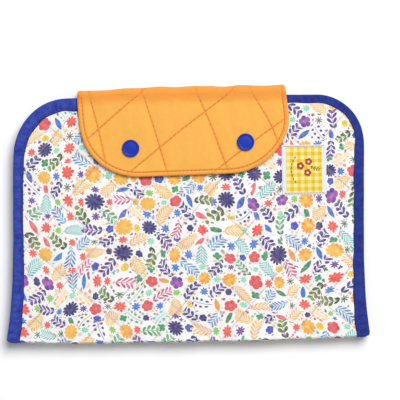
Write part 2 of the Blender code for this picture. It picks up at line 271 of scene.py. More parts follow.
def groove_shade(x, y, quilting, width=0.75 * MM):
    """Painted shade in a quilting line's groove: 1 on the line, fading to 0 past `width` from it.
    """
    return np.maximum.reduce([bell(line_distance(x, y, family), width) for family in quilting])


def pillow(x, y, quilting, width=5.5 * MM):
    """0 on a quilting line and 1 in the middle of a diamond."""
    height = 1.0
    for family in quilting:
        distance = line_distance(x, y, family)
        height = height * (1 - np.exp(-distance / width))
        along = waves(x, y, 3.2 * MM, 11)
        height = height + 0.07 * along * np.exp(-distance / (3.5 * MM))
    return height


def add_values(mesh, name, kind, field, values):
    """Stores one value or vector for each point of a mesh."""
    attribute = mesh.attributes.new(name, kind, "POINT")
    attribute.data.foreach_set(field, np.asarray(values, dtype=np.float32).ravel())


def surface(name, points, look, cloth=None, closed=False, seam=None):
    """A smooth mesh from a grid of points.

    `cloth` holds each point's flat place on its cloth; `seam`, from 0 to 1, its painted shade.
    """
    rows, columns = points.shape[:2]
    index = np.arange(rows * columns).reshape(rows, columns)
    if closed:
        index = np.concatenate([index, index[:, :1]], 1)
    quads = np.stack([index[:-1, :-1], index[:-1, 1:], index[1:, 1:], index[1:, :-1]], -1)
    mesh = bpy.data.meshes.new(name)
    mesh.from_pydata(points.reshape(-1, 3).tolist(), [], quads.reshape(-1, 4).tolist())
    flat = points[..., :2] if cloth is None else np.asarray(cloth)
    place = np.zeros((rows * columns, 3))
    place[:, :2] = flat.reshape(-1, 2) / MM
    add_values(mesh, "cloth", "FLOAT_VECTOR", "vector", place)
    if seam is not None:
        add_values(mesh, "seam", "FLOAT", "value", seam)
    return added(name, mesh, look)


def added(name, mesh, look):
    """Puts a mesh in the scene as a smooth object with the material of one of LOOKS."""
    material, slot = LOOKS[look]
    mesh.shade_smooth()
    mesh.materials.append(material)
    obj = bpy.data.objects.new(name, mesh)
    bpy.context.scene.collection.objects.link(obj)
    return obj


def joined(name, parts, look):
    """One mesh object from (vertices, faces) parts."""
    faces, count = [], 0
    for points, polygons in parts:
        faces += [tuple(corner + count for corner in face) for face in polygons]
        count += len(points)
    points = np.concatenate([part[0] for part in parts])
    mesh = bpy.data.meshes.new(name)
    mesh.from_pydata(points.tolist(), [], faces)
    add_values(mesh, "cloth", "FLOAT_VECTOR", "vector", points / MM)
    return added(name, mesh, look)


def stitch_shape():
    """A unit stitch along X: a rounded hexagonal rod, as vertices and faces."""
    rings = [(-0.5, 0.45), (-0.3, 1.0), (0.3, 1.0), (0.5, 0.45)]
    sides = 6
    points = [
        (x, r * math.cos(2 * math.pi * k / sides), r * math.sin(2 * math.pi * k / sides))
        for x, r in rings
        for k in range(sides)
    ]
    faces = [
        (a * sides + k, a * sides + (k + 1) % sides, (a + 1) * sides + (k + 1) % sides,
         (a + 1) * sides + k)
        for a in range(len(rings) - 1)
        for k in range(sides)
    ]
    last = (len(rings) - 1) * sides
    faces.append(tuple(reversed(range(sides))))
    faces.append(tuple(range(last, last + sides)))
    return np.array(points), faces


STITCH = stitch_shape()


def stitches(line, size, thickness):
    """Stitch parts along a 3-D polyline: `size` is (pitch, length)."""
    pitch, length = size
    marks = evenly(line, pitch)
    if len(marks) < 2:
        return []
    parts = []
    shape, faces = STITCH
    for start, end in zip(marks, marks[1:]):
        along = end - start
        long = np.linalg.norm(along)
        if long < 1e-9:
            continue
        along = along / long
        side = np.cross([0, 0, 1], along)
        side = side / max(np.linalg.norm(side), 1e-9)
        up = np.cross(along, side)
        scaled = shape * [length * long / pitch, thickness / 2, thickness / 3]
        placed = (start + end) / 2 + scaled @ np.array([along, side, up])
        parts.append((placed, faces))
    return parts


def quilting_lines(family, low, high):
    """The lines of one family that cross the box from low to high."""
    angle, spacing, offset, fan = family
    turn = math.radians(angle)
    along = np.array([math.cos(turn), math.sin(turn)])
    across = np.array([-math.sin(turn), math.cos(turn)])
    reach = np.linalg.norm(np.subtract(high, low)) + abs(offset)
    count = int(reach / spacing) + 2
    runs = np.arange(-reach, reach, 0.6 * MM)
    for k in range(-count, count + 1):
        x, y = (across * (offset + k * spacing) + runs[:, None] * along).T
        lean = FAN_LEAN * (HINGE_Y - y)
        yield np.stack([(x - lean) * (1 + fan * (HINGE_Y - y)) + lean, y], 1)


# ---------------------------------------------------------------- shader helpers


class Value:
    """A number worked out by a node tree: each sum written with it makes one Math node."""

    def __init__(self, graph, socket):
        self.graph = graph
        self.socket = socket

    def __add__(self, other):
        return self.graph.math("ADD", self, other)

    def __sub__(self, other):
        return self.graph.math("SUBTRACT", self, other)

    def __rsub__(self, other):
        return self.graph.math("SUBTRACT", other, self)

    def __mul__(self, other):
        return self.graph.math("MULTIPLY", self, other)

    def __rmul__(self, other):
        return self.graph.math("MULTIPLY", other, self)

    def __truediv__(self, other):
        return self.graph.math("DIVIDE", self, other)

    def __abs__(self):
        return self.graph.math("ABSOLUTE", self)


class Graph:
    """Writes a node tree as calls: each call makes one node and gives what comes out of it."""

    def __init__(self, name, roughness=0.85, sheen=0.0, coat=0.0, specular=0.5):
        self.material = bpy.data.materials.new(name)
        self.material.use_nodes = True
        self.tree = self.material.node_tree
        self.shader = self.tree.nodes["Principled BSDF"]
        self.shader.inputs["Roughness"].default_value = roughness
        self.shader.inputs["Sheen Weight"].default_value = sheen
        self.shader.inputs["Sheen Roughness"].default_value = 0.5
        self.shader.inputs["Coat Weight"].default_value = coat
        self.shader.inputs["Specular IOR Level"].default_value = specular

    def node(self, kind, **settings):
        node = self.tree.nodes.new(kind)
        for key, value in settings.items():
            setattr(node, key, value)
        return node

    def put(self, socket, value):
        if isinstance(value, Value):
            value = value.socket
        if isinstance(value, bpy.types.NodeSocket):
            self.tree.links.new(value, socket)
        elif value is not None:
            socket.default_value = value

    def math(self, operation, *values, clamp=False):
        node = self.node("ShaderNodeMath", operation=operation, use_clamp=clamp)
        for socket, value in zip(node.inputs, values):
            self.put(socket, value)
        return Value(self, node.outputs[0])

    def vector(self, operation, *values):
        node = self.node("ShaderNodeVectorMath", operation=operation)
        for socket, value in zip(node.inputs, values):
            self.put(socket, value)
        return Value(self, node.outputs["Value" if operation == "LENGTH" else "Vector"])

    def scaled(self, vector, factor):
        node = self.node("ShaderNodeVectorMath", operation="SCALE")
        self.put(node.inputs[0], vector)
        self.put(node.inputs["Scale"], factor)
        return node.outputs["Vector"]

    def split(self, vector):
        node = self.node("ShaderNodeSeparateXYZ")
        self.put(node.inputs[0], vector)
        return [Value(self, output) for output in node.outputs]

    def turned(self, vector, angle):
        node = self.node("ShaderNodeVectorRotate", rotation_type="Z_AXIS")
        self.put(node.inputs["Vector"], vector)
        self.put(node.inputs["Angle"], angle)
        return node.outputs[0]

    def mix(self, factor, low, high, blend="MIX"):
        node = self.node("ShaderNodeMix", data_type="RGBA", blend_type=blend)
        self.put(node.inputs[0], factor)
        self.put(node.inputs[6], low)
        self.put(node.inputs[7], high)
        return node.outputs[2]

    def ramp(self, value, colours, interpolation="CONSTANT"):
        """A colour ramp with evenly spaced colours."""
        node = self.node("ShaderNodeValToRGB")
        ramp = node.color_ramp
        ramp.interpolation = interpolation
        spread = len(colours) if interpolation == "CONSTANT" else len(colours) - 1
        while len(ramp.elements) < len(colours):
            ramp.elements.new(0.5)
        for k, colour in enumerate(colours):
            ramp.elements[k].position = k / spread
            ramp.elements[k].color = colour
        self.put(node.inputs[0], value)
        return node.outputs[0]

    def pick(self, value, numbers):
        """One of some numbers, chosen by a value from 0 to 1."""
        largest = max(numbers)
        greys = [(number / largest,) * 3 + (1,) for number in numbers]
        return self.math("MULTIPLY", self.ramp(value, greys), largest)

    def attribute(self, name):
        return self.node("ShaderNodeAttribute", attribute_name=name)

    def spread(self, value, low, high):
        """A value from 0 to 1 stretched to go from low to high."""
        return self.math("MULTIPLY_ADD", value, high - low, low)

    def noise(self, vector, scale, detail=2.0, distortion=0.0):
        node = self.node("ShaderNodeTexNoise")
        self.put(node.inputs["Vector"], vector)
        node.inputs["Scale"].default_value = scale
        node.inputs["Detail"].default_value = detail
        node.inputs["Distortion"].default_value = distortion
        return Value(self, node.outputs["Fac"]), node.outputs["Color"]

    def dice(self, cell, seed):
        """Three random numbers, the same all over one cell."""
        node = self.node("ShaderNodeTexWhiteNoise", noise_dimensions="3D")
        self.put(node.inputs["Vector"], self.vector("ADD", cell, (0.31, 0.73, seed)))
        return self.split(node.outputs["Color"])

    def place(self):
        """The point's flat place on its cloth, in millimetres."""
        return self.attribute("cloth").outputs["Vector"]

    # How much painted shade the mesh asks for here, scaled by strength
    def painted_shade_amount(self, strength):
        return self.math("MULTIPLY", self.attribute("seam").outputs["Fac"], strength)

    def bump(self, height, distance, strength=1.0, normal=None):
        node = self.node("ShaderNodeBump")
        node.inputs["Distance"].default_value = distance
        node.inputs["Strength"].default_value = strength
        self.put(node.inputs["Height"], height)
        self.put(node.inputs["Normal"], normal)
        return node.outputs[0]

    def finish(self, colour, normal=None, roughness=None):
        self.put(self.shader.inputs["Base Color"], colour)
        self.put(self.shader.inputs["Normal"], normal)
        self.put(self.shader.inputs["Roughness"], roughness)
        return self.material


def weave(g, place, threads=2.4, turn=0.0):
    """Height of a plain weave with `threads` threads to a millimetre, with slubs."""
    x, y, _ = g.split(g.turned(place, turn))
    over = g.math("SINE", x * (math.pi * threads))
    under = g.math("SINE", y * (math.pi * threads))
    crossing = over * under
    slub, _ = g.noise(g.vector("MULTIPLY", place, (0.9, 4.0, 1.0)), 1.0)
    return crossing * 0.5 + slub * 0.9


def plain_cloth(name, base, light, dark, seam, threads=2.2, turn=0.0, sheen=0.15, mottle=0.25):
    """Plain woven cotton with soft fading, slubs and a little fuzz, and painted shade at seams and
    bends.
    """
    g = Graph(name, roughness=0.88, sheen=sheen, specular=0.25)
    place = g.place()
    broad, _ = g.noise(place, 0.045, 3.0)
    fine, _ = g.noise(g.vector("MULTIPLY", place, (0.8, 3.0, 1.0)), 1.4, 3.0)
    cloud, _ = g.noise(place, 0.3, 3.0)
    colour = g.ramp(broad, (dark, base, base, light), "EASE")
    cloud = g.math("MULTIPLY_ADD", cloud, 2.6, -0.8, clamp=True)
    colour = g.mix(mottle, colour, g.mix(cloud, dark, light))
    threads_height = weave(g, place, threads, turn)
    colour = g.mix(fine * 0.22, colour, dark)
    colour = g.mix(g.math("MULTIPLY", threads_height, 0.10, clamp=True), colour, light)
    # Painted shade: darker toward the shade colour along seams, at the tape's lip and over the
    # flap's bends
    colour = g.mix(g.painted_shade_amount(1.0), colour, seam)
    return g.finish(colour, g.bump(threads_height, 0.00006))


# ---------------------------------------------------------------- the floral print

PRINT_GROUND = srgb(255, 254, 254)


# A full turn, near enough for a random angle
TURN = 6.28


def inks(*colours):
    return [srgb(*colour) for colour in colours]


# Sprigs: the colours at the root and the tip, then leaf spacing, length and half width in mm
SPRIG_ROOTS = inks(
    (64, 38, 136), (34, 48, 30), (248, 198, 90), (100, 186, 218), (190, 50, 100), (42, 38, 124),
    (250, 214, 112), (64, 140, 96), (247, 182, 100), (92, 190, 186),
)
SPRIG_TIPS = inks(
    (128, 72, 176), (150, 186, 56), (250, 230, 120), (46, 98, 178), (238, 140, 184), (84, 76, 174),
    (248, 192, 90), (150, 212, 160), (252, 220, 136), (150, 220, 216),
)
SPRIG_SPACING = (3.3, 3.7, 2.1, 2.7, 2.9, 3.5, 2.0, 3.4, 2.5, 2.1)
SPRIG_LEAF = (5.2, 5.0, 5.8, 5.6, 5.3, 4.8, 6.2, 5.0, 5.5, 5.6)
SPRIG_WIDTH = (0.98, 1.22, 0.52, 0.58, 0.70, 1.05, 0.50, 0.92, 0.60, 0.42)
SPRIG_TINT = (0.05, 0.06, 0.30, 0.14, 0.08, 0.04, 0.30, 0.10, 0.20, 0.22)

# Large flowers: petals, radius, depth and sharpness of the petals, how uneven they are
LARGE_COUNT = (11, 9, 13, 5, 11, 5, 9)
LARGE_RADIUS = (5.7, 5.7, 6.5, 5.0, 6.0, 5.2, 5.6)
LARGE_DEPTH = (0.42, 0.40, 0.62, 0.34, 0.36, 0.30, 0.42)
LARGE_SHARP = (0.30, 0.7, 0.28, 0.42, 0.32, 0.4, 0.9)
LARGE_UNEVEN = (0.08, 0.34, 0.10, 0.10, 0.08, 0.10, 0.36)
LARGE_INKS = inks(
    (250, 158, 46), (240, 70, 58), (32, 24, 104), (82, 42, 158), (251, 184, 62), (226, 70, 82),
    (243, 84, 66),
)
LARGE_OTHER = inks(
    (253, 216, 88), (248, 102, 82), (54, 42, 138), (222, 120, 200), (252, 208, 84), (242, 112, 108),
    (246, 110, 86),
)

# Small motifs: the same figures for stars, blossoms, clovers and spiky asters
SMALL_COUNT = (8, 8, 5, 8, 6, 8, 4, 8, 5, 8)
SMALL_RADIUS = (3.5, 3.3, 3.4, 3.0, 2.9, 3.0, 3.3, 3.4, 3.0, 2.9)
SMALL_DEPTH = (0.46, 0.42, 0.28, 0.42, 0.26, 0.52, 0.5, 0.78, 0.14, 0.4)
SMALL_SHARP = (1.3, 1.2, 0.5, 1.2, 0.5, 1.3, 0.6, 2.2, 0.6, 1.2)
SMALL_INKS = inks(
    (46, 116, 210), (242, 92, 76), (50, 70, 184), (146, 206, 74), (46, 36, 112), (102, 52, 152),
    (52, 150, 96), (56, 80, 32), (250, 222, 70), (140, 222, 184),
)
ALMOND_INKS = inks(
    (44, 116, 204), (60, 148, 92), (48, 100, 196), (238, 120, 120), (60, 130, 210), (246, 170, 60),
)
SMALL_OTHER = inks(
    (80, 142, 226), (248, 112, 88), (78, 94, 204), (154, 220, 104), (70, 58, 142), (140, 74, 172),
    (84, 176, 118), (86, 110, 50), (238, 172, 36), (168, 234, 202),
)
DOT_INKS = inks(
    (158, 58, 98), (246, 206, 158), (116, 188, 164), (186, 82, 96), (236, 214, 170), (140, 46, 84),
    (240, 150, 128),
)


def scatter(g, place, size, shift, jitter, seed):
    """A lattice with one motif in each cell: its own coordinates in mm, and random numbers."""
    grid = g.vector("ADD", g.scaled(place, 1 / size), (*shift, 0))
    cell = g.vector("FLOOR", grid)
    first = g.dice(cell, seed)
    second = g.dice(cell, seed + 7.7)
    middle = g.vector("SUBTRACT", g.vector("SUBTRACT", grid, cell), (0.5, 0.5, 0.0))
    local = g.scaled(g.vector("MULTIPLY", middle, (1, 1, 0)), size)
    move = g.node("ShaderNodeCombineXYZ")
    g.put(move.inputs[0], g.spread(first[0], -jitter, jitter))
    g.put(move.inputs[1], g.spread(first[1], -jitter, jitter))
    return g.vector("SUBTRACT", local, move.outputs[0]), first[2], second


def inside(g, edge, distance, softness=0.16):
    """1 where distance is under edge, with a soft brush edge `softness` mm wide."""
    gap = edge - distance
    return g.math("MULTIPLY_ADD", gap, 1 / softness, 0.5, clamp=True)


def chance(g, number, seed):
    """A random value from 0 to 1 for each whole number."""
    wave = g.math("SINE", g.math("MULTIPLY_ADD", number, 12.9, seed))
    return g.math("FRACT", wave * 437.5)


def flower(g, local, count, radius, depth, sharpness, uneven):
    """A flower: its mask, how far out a point is, its lobe, its petal, and a wider mask."""
    x, y, _ = g.split(local)
    distance = g.vector("LENGTH", local)
    turn = g.math("ARCTAN2", y, x) * (0.5 / math.pi)
    petal = turn * count
    number = g.math("ROUND", petal)
    lobe = abs(g.math("COSINE", petal * math.pi))
    lobe = g.math("POWER", lobe, sharpness)
    shorter = chance(g, number, 1.7) * uneven
    full = radius * (1.0 - shorter)
    edge = full * (1.0 - depth * (1.0 - lobe))
    wide = inside(g, radius + 0.5, distance, 0.5)
    return inside(g, edge, distance), distance / radius, lobe, number, wide


SPRIG_SLANT = 0.74


def sprig(g, local, half_length, spacing, leaf, width, berries=0.0):
    """A curved stem with pairs of leaves or, where `berries` is 1, of berries.

    Gives its mask, the leaf's number, the place along the stem from -1 to 1, and the envelope.
    """
    x, y, _ = g.split(local)
    bent = y - x * x * 0.022
    away = abs(bent)
    root = x - away * (1 / math.tan(SPRIG_SLANT))
    place = root / half_length
    on_stem = g.math("LESS_THAN", abs(place), 1.0)
    taper = 1.0 - place * place * 0.5
    reach = taper * leaf
    spacing = g.math("MAXIMUM", spacing, berries * 3.3)
    cell = root / spacing
    aside = (g.math("FRACT", cell) - 0.5) * spacing
    run = away * (1 / math.sin(SPRIG_SLANT)) + aside * math.cos(SPRIG_SLANT)
    along = run / reach
    offset = abs(aside) * math.sin(SPRIG_SLANT)
    bulge = along * along * (1.0 - along)
    bulge = g.math("SQRT", g.math("MAXIMUM", bulge * 6.75, 0.0))
    blade = inside(g, bulge * width, offset)
    blade = blade * g.math("LESS_THAN", along, 1.0)
    from_berry = (along - 0.78) * reach
    apart = g.math("SQRT", offset * offset + from_berry * from_berry)
    blade = g.math("MAXIMUM", inside(g, 0.95, apart) * berries, blade * (1.0 - berries))
    blade = blade * on_stem
    stem = inside(g, 0.17, away) * inside(g, half_length, abs(x))
    number = g.math("FLOOR", cell) + g.math("SIGN", bent) * 31.0
    envelope = g.math("LESS_THAN", along, 1.12) * on_stem
    return g.math("MAXIMUM", blade, stem), number, place, envelope


def painted(g, ink, place, strength=0.5):
    """Watercolour: the ink grows paler and deeper in soft blots."""
    blot, _ = g.noise(place, 0.5, 2.0, 0.6)
    pale = g.mix(0.26, ink, PRINT_GROUND)
    deep = g.mix(0.6, ink, ink, "MULTIPLY")
    tone = g.math("MULTIPLY_ADD", blot, 2.6, -0.8, clamp=True)
    return g.mix(strength, ink, g.mix(tone, deep, pale))


def laid_over(g, colour, clear, mask, ink, tint=0.05):
    """Paints a motif on ground cleared round it, faintly tinted with its own ink."""
    colour = g.mix(clear, colour, g.mix(tint, PRINT_GROUND, ink))
    return g.mix(mask, colour, ink)


def add_dots(g, colour, place, size, shift, seed):
    """A round dot of its own size in most cells of the lattice."""
    local, roll, second = scatter(g, place, size, shift, size * 0.2, seed)
    radius = g.math("SQRT", roll) * 1.75 - 0.42
    mask = inside(g, radius, g.vector("LENGTH", local), 0.2)
    ink = painted(g, g.ramp(second[0], DOT_INKS), place)
    return g.mix(mask * 0.92, colour, ink)


def add_minis(g, colour, place, size, shift, seed):
    """Tiny blossoms and leaf pairs that fill the ground between the motifs."""
    local, roll, second = scatter(g, place, size, shift, size * 0.16, seed)
    local = g.turned(local, second[1] * TURN)
    count = g.pick(second[2], (2, 4, 5, 3, 6))
    radius = g.spread(roll, 0.9, 2.1)
    mask, _, _, _, wide = flower(g, local, count, radius, 0.75, 0.9, 0.2)
    ink = painted(g, g.ramp(second[0], SMALL_INKS + DOT_INKS + SPRIG_ROOTS[:4]), place)
    return laid_over(g, colour, wide, mask, ink)


def add_sprigs(g, colour, place, size, shift, seed, half_length, tilt, share=1.0):
    """Sprigs in some `share` of the cells, turned `tilt` from one of the lattice's four ways."""
    local, roll, second = scatter(g, place, size, shift, 1.0, seed)
    quarter = g.math("FLOOR", second[1] * 4.0) * (math.pi / 2)
    angle = quarter + g.spread(second[2], tilt - 0.24, tilt + 0.24)
    kind = second[0]
    sizes = [g.pick(kind, numbers) for numbers in (SPRIG_SPACING, SPRIG_LEAF, SPRIG_WIDTH)]
    berries = g.math("GREATER_THAN", g.math("FRACT", roll * 7.3), 0.84)
    mask, number, along, clear = sprig(g, g.turned(local, angle), half_length, *sizes, berries)
    if share < 1:
        present = g.math("LESS_THAN", roll, share)
        room = inside(g, 6.6, g.vector("LENGTH", local)) * present
        colour = g.mix(room, colour, PRINT_GROUND)
        clear = clear * present
        mask = mask * present
    blend = g.math("MULTIPLY_ADD", along, 0.5, 0.5, clamp=True)
    ink = g.mix(blend, g.ramp(kind, SPRIG_ROOTS), g.ramp(kind, SPRIG_TIPS))
    deep = g.mix(0.6, ink, ink, "MULTIPLY")
    ink = g.mix(chance(g, number, 0.4) * 0.7, ink, deep)
    tint = g.pick(kind, SPRIG_TINT)
    return laid_over(g, colour, clear, mask, painted(g, ink, place, 0.4), tint)


def add_leaves(g, colour, place, size, shift, seed, share):
    """Single almond-shaped leaves in some `share` of the cells."""
    local, roll, second = scatter(g, place, size, shift, 0.8, seed)
    local = g.turned(local, second[1] * TURN)
    x, y, _ = g.split(local)
    along = x * (1 / 5.4)
    swell = 1.0 - along * along
    swell = g.math("MAXIMUM", swell, 0.0) * 1.75
    aside = abs(y - along * 0.5)
    present = g.math("LESS_THAN", roll, share)
    mask = inside(g, swell, aside) * present
    clear = inside(g, swell + 0.9, aside)
    clear = g.math("MAXIMUM", clear, inside(g, 4.0, g.vector("LENGTH", local), 0.5))
    ink = painted(g, g.ramp(second[0], ALMOND_INKS), place, 0.6)
    return laid_over(g, colour, clear * present, mask, ink)


def add_flowers(g, colour, place, size, shift, seed, figures, first_inks, other_inks, jitter=1.0):
    """A flower in every cell: `figures` has its count, radius, depth, sharpness and unevenness."""
    local, roll, second = scatter(g, place, size, shift, jitter, seed)
    local = g.turned(local, second[1] * TURN)
    kind = second[0]
    count, radius, depth, sharp, uneven = [g.pick(kind, numbers) for numbers in figures]
    radius = radius * g.spread(roll, 0.86, 1.06)
    mask, out, lobe, number, clear = flower(g, local, count, radius, depth, sharp, uneven)
    other = g.ramp(kind, other_inks)
    ink = g.mix(chance(g, number, 4.1), g.ramp(kind, first_inks), other)
    crease = (1.0 - lobe) * 0.4
    ink = g.mix(crease, ink, other)
    ink = g.mix(inside(g, 0.26, out, 0.3) * 0.7, ink, other)
    return laid_over(g, colour, clear, mask, painted(g, ink, place, 0.4))


def floral_cloth():
    """White cotton printed with dense, small watercolour flowers, sprigs, stars and dots."""
    g = Graph("floral_print", roughness=0.85, sheen=0.08, specular=0.25)
    place = g.place()
    _, drift = g.noise(place, 0.022, 1.0)
    drift = g.scaled(g.vector("SUBTRACT", drift, (0.5, 0.5, 0.5)), 14.0)
    wander = g.vector("ADD", place, g.vector("MULTIPLY", drift, (1, 1, 0)))
    tints = g.noise(place, 0.12, 1.0)[1]
    colour = g.mix(0.065, PRINT_GROUND, tints)
    cell = 18.6
    colour = add_dots(g, colour, wander, cell / 4.4, (0.3, 0.6), 1.3)
    colour = add_dots(g, colour, wander, cell / 3.7, (0.8, 0.1), 8.9)
    colour = add_minis(g, colour, wander, cell / 2, (0.25, 0.25), 14.2)
    large = (LARGE_COUNT, LARGE_RADIUS, LARGE_DEPTH, LARGE_SHARP, LARGE_UNEVEN)
    small = (SMALL_COUNT, SMALL_RADIUS, SMALL_DEPTH, SMALL_SHARP, (0.1,) * len(SMALL_COUNT))
    colour = add_sprigs(g, colour, wander, cell, (0.5, 0.5), 11.3, 8.8, math.pi / 4)
    for shift, seed in (((0.0, 0.5), 53.3), ((0.5, 0.0), 67.1)):
        colour = add_flowers(g, colour, wander, cell, shift, seed, small, SMALL_INKS, SMALL_OTHER)
        colour = add_leaves(g, colour, wander, cell, shift, seed + 5.0, 0.2)
    colour = add_flowers(g, colour, wander, cell, (0.0, 0.0), 23.7, large, LARGE_INKS, LARGE_OTHER)
    colour = add_sprigs(g, colour, wander, cell, (0.0, 0.0), 88.8, 6.6, 0.0, 0.34)
    grain, _ = g.noise(place, 1.7, 3.0)
    colour = g.mix(grain * 0.08, colour, srgb(215, 210, 220))
    # Painted shade, reddish grey, along the grooves of the quilting lines
    colour = g.mix(g.painted_shade_amount(0.9), colour, srgb(190, 150, 140))
    return g.finish(colour, g.bump(weave(g, place), 0.00005))


# ---------------------------------------------------------------- materials

# Each cloth's base, light and dark tones, and the colour that its painted shade darkens to
ORANGE = dict(
    base=srgb(252, 184, 84), light=srgb(253, 196, 103), dark=srgb(250, 170, 66),
    seam=srgb(238, 118, 28),
)
BLUE = dict(
    base=srgb(44, 62, 164), light=srgb(72, 92, 190), dark=srgb(28, 42, 134), seam=srgb(20, 30, 104)
)


def thread(name, colour):
    """Twisted sewing thread."""
    g = Graph(name, roughness=0.55, sheen=0.2, specular=0.4)
    place = g.place()
    x, y, _ = g.split(place)
    twist = g.math("SINE", (x + y) * 22.0)
    shaded = g.mix(0.22, colour, (0, 0, 0, 1))
    tone = g.math("MULTIPLY_ADD", twist, 0.25, 0.25)
    return g.finish(g.mix(tone, colour, shaded), g.bump(twist, 0.00004))


def label_cloth():
    """Printed label: yellow gingham between pale selvages, a few small red flowers and a leaf."""
    g = Graph("label_cloth", roughness=0.8, sheen=0.1, specular=0.3)
    place = g.place()
    x, y, _ = g.split(place)
    white, yellow, deep = srgb(253, 243, 170), srgb(246, 218, 92), srgb(236, 194, 34)
    bars = []
    for along in (x, y):
        band = g.math("SINE", along * (2 * math.pi / LABEL_CHECK))
        bars.append(g.math("MULTIPLY_ADD", band, 1.6, 0.5, clamp=True))
    colour = g.mix(bars[0], white, yellow)
    colour = g.mix(bars[1], colour, g.mix(bars[0], yellow, deep))
    across = abs(x)
    selvage = inside(g, across, LABEL_PRINT[0], 0.5)
    ends = inside(g, abs(y), LABEL_PRINT[1], 0.5)
    plain = g.mix(0.5, srgb(232, 238, 244), srgb(246, 246, 246))
    colour = g.mix(g.math("MAXIMUM", selvage, ends), colour, plain)
    for centre, radius in LABEL_FLOWERS:
        local = g.vector("SUBTRACT", place, (*centre, 0))
        mask, out, _, _, _ = flower(g, local, 5, radius, 0.28, 0.5, 0.0)
        colour = g.mix(mask, colour, srgb(178, 48, 26))
        colour = g.mix(inside(g, 0.3, out, 0.1), colour, srgb(255, 238, 214))
    stem = g.vector("SUBTRACT", place, (*LABEL_LEAF, 0))
    blade, _, _, _ = sprig(g, g.turned(stem, 0.35), 3.6, 1.9, 2.2, 0.42)
    colour = g.mix(blade, colour, srgb(112, 128, 48))
    rib = weave(g, place, 3.2)
    grain, _ = g.noise(place, 2.2, 2.0)
    colour = g.mix(grain * 0.12, colour, srgb(190, 175, 130))
    return g.finish(colour, g.bump(rib, 0.00005))


def snap_plastic():
    """Glossy moulded blue plastic with faint flow marks and fine handling scratches."""
    g = Graph("snap_plastic", roughness=0.35, coat=0.04, specular=0.14)
    g.shader.inputs["Coat Roughness"].default_value = 0.08
    node = g.node("ShaderNodeTexCoord")
    place = g.scaled(node.outputs["Object"], 1000.0)
    cloud, _ = g.noise(place, 0.25, 2.0)
    colour = g.mix(cloud, srgb(22, 48, 164), srgb(38, 66, 182))
    scratch, _ = g.noise(g.vector("MULTIPLY", place, (1.0, 9.0, 1.0)), 1.6, 4.0)
    roughness = g.spread(scratch, 0.22, 0.40)
    return g.finish(colour, g.bump(scratch, 0.00001), roughness)


BLUE_TAPE = plain_cloth("blue_binding", **BLUE, threads=2.8, turn=0.78, sheen=0.04, mottle=0.8)

# Each look is a material and the record's slot for it
LOOKS = {
    "print": (floral_cloth(), "printed_cotton"),
    "orange": (plain_cloth("orange_cotton", **ORANGE, turn=0.3), "orange_cotton"),
    "binding": (BLUE_TAPE, "binding_tape"),
    "thread_pad": (thread("pad_thread", srgb(180, 146, 156)), "printed_cotton"),
    "thread_orange": (thread("orange_thread", srgb(224, 124, 34)), "orange_cotton"),
    "thread_blue": (thread("blue_thread", srgb(40, 56, 150)), "binding_tape"),
    "thread_green": (thread("green_thread", srgb(112, 118, 70)), "label_cotton"),
    "thread_red": (thread("red_thread", srgb(176, 84, 66)), "label_cotton"),
    "label": (label_cloth(), "label_cotton"),
    "snap": (snap_plastic(), "snap_plastic"),
}


# ---------------------------------------------------------------- panels


def tape_width(x, y):
    """How far the tape reaches in: more towards the fold and round the left corner."""
    low = step(-y, 5 * MM, 92 * MM)
    high = step(y, 30 * MM, 72 * MM) * step(np.abs(x), 15 * MM, 70 * MM)
    return BINDING + 2.4 * MM * low + high * np.where(x < 0, 1.9 * MM, -1.4 * MM)


def panel_height(x, y, edge, swell=0.85 * MM):
    """Height of a panel's cloth above its middle plane: low under the binding, quilted inside."""
    width = tape_width(x, y)
    free = step(edge, width - 0.8 * MM, width + 5 * MM)
    rim = 0.95 * MM
    groove = 0.8 * MM
    inner = groove + swell * pillow(x, y, PAD_QUILTING) + 0.06 * MM * waves(x, y, 9 * MM, 5)
    return rim * (1 - free) + inner * free


def snap_dimple(x, y, low, high):
    """How much of a snap's dimple is felt: 1 inside `low` mm of a snap, 0 past `high`."""
    felt = 0.0
    for snap in SNAPS:
        distance = np.hypot(x - snap[0], y - snap[1])
        felt = np.maximum(felt, 1 - step(distance, low * MM, high * MM))
    return felt


def panel_grid(top, rows, columns):
    """x and y of a grid over a panel, from the fold to its top, reaching under its binding."""
    end = INNER_Y if top is None else top - UNDER_TAPE
    t = np.linspace(0, 1, rows)
    if top is not None:
        t = 1 - (1 - t) ** CROWDING
    y = FOLD_Y + (end - FOLD_Y) * t
    across = np.linspace(0, 1, columns)
    left, right = (side_at(y, top, side, UNDER_TAPE) for side in (-1, 1))
    x = left[:, None] + (right - left)[:, None] * across[None]
    return x, np.repeat(y[:, None], columns, 1)


PANEL_TOPS = [FRONT_TOP + 0.4 * MM, None, None, FRONT_TOP]
FACE_GRID = {True: (230, 300), False: (120, 160)}


def strip_place(k, y):
    """Where height y of panel k lies along the unfolded strip, printed side out."""
    second = 2 * FOLD_Y - NOSE_LENGTH
    third = second - 2 * INNER_Y
    fourth = 2 * FOLD_Y + third - NOSE_LENGTH
    return (y, second - y, third + y, fourth - y)[k]


def panel_face(k, up, look, name):
    """The upper or lower cloth of panel k, from its fold line to its bound or folded end."""
    top = PANEL_TOPS[k]
    x, y = panel_grid(top, *FACE_GRID[k == 3 and up])
    edge = edge_distance(x, y, outline(top))
    height = panel_height(x, y, edge)
    if k == 3:
        sunk = snap_dimple(x, y, 5.6, 10)
        height = height * (1 - sunk) + 0.9 * MM * sunk
    z = MIDDLE[k] + (height if up else -height)
    points = settled(np.stack([x, y, z], -1), lining=look == "orange")
    cloth = np.stack([x, strip_place(k, y)], -1)
    # Painted shade along the grooves of the quilting lines
    seam = 0.3 * groove_shade(x, y, PAD_QUILTING, 0.6 * MM)
    return surface(name, points, look, cloth, seam=seam)


